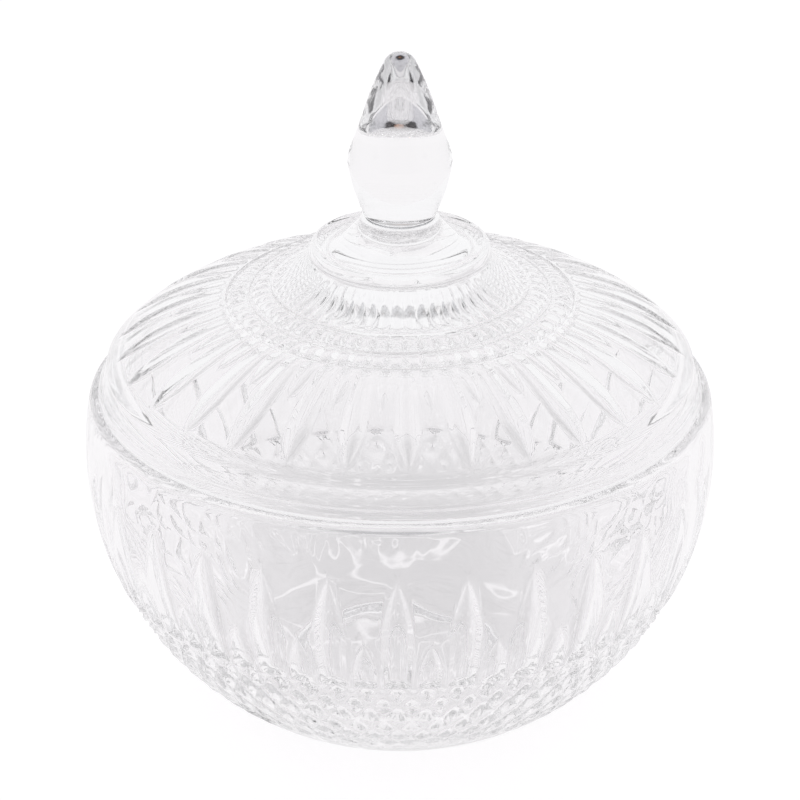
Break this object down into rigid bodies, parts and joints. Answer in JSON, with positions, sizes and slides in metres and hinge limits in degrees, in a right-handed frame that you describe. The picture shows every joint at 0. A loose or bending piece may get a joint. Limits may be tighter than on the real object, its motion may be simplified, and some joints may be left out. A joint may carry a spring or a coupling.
{
  "type": "lidded glass jar",
  "caption": "Round clear pressed-glass powder jar with pointed cuts, a domed lift-off lid with bead rings and collar, and a solid pointed finial.",
  "frame": {"origin": "centre of the circle that the foot ring rests on, so the jar stands on Z = 0", "axes": "+Z is the axis that the jar is turned about, up through the finial; +X and +Y lie level, and a long cut of the bowl and of the lid faces -Y"},
  "size_m": [0.16, 0.16, 0.1762],
  "materials": {
    "bowl_glass": "clear fire-polished pressed glass",
    "lid_glass": "clear fire-polished pressed glass",
    "finial_glass": "clear polished solid glass",
    "bond_film": "cured clear adhesive, smooth"
  },
  "bodies": {
    "bowl": {"bowl": "bowl_glass"},
    "lid": {"lid": "lid_glass", "finial_bond": "bond_film", "finial": "finial_glass"}
  },
  "joints": [
    {"name": "lid_lift", "type": "slide", "parent": "bowl", "child": "lid", "axis": [0, 0, 1], "range_m": [0, 0.12]}
  ]
}
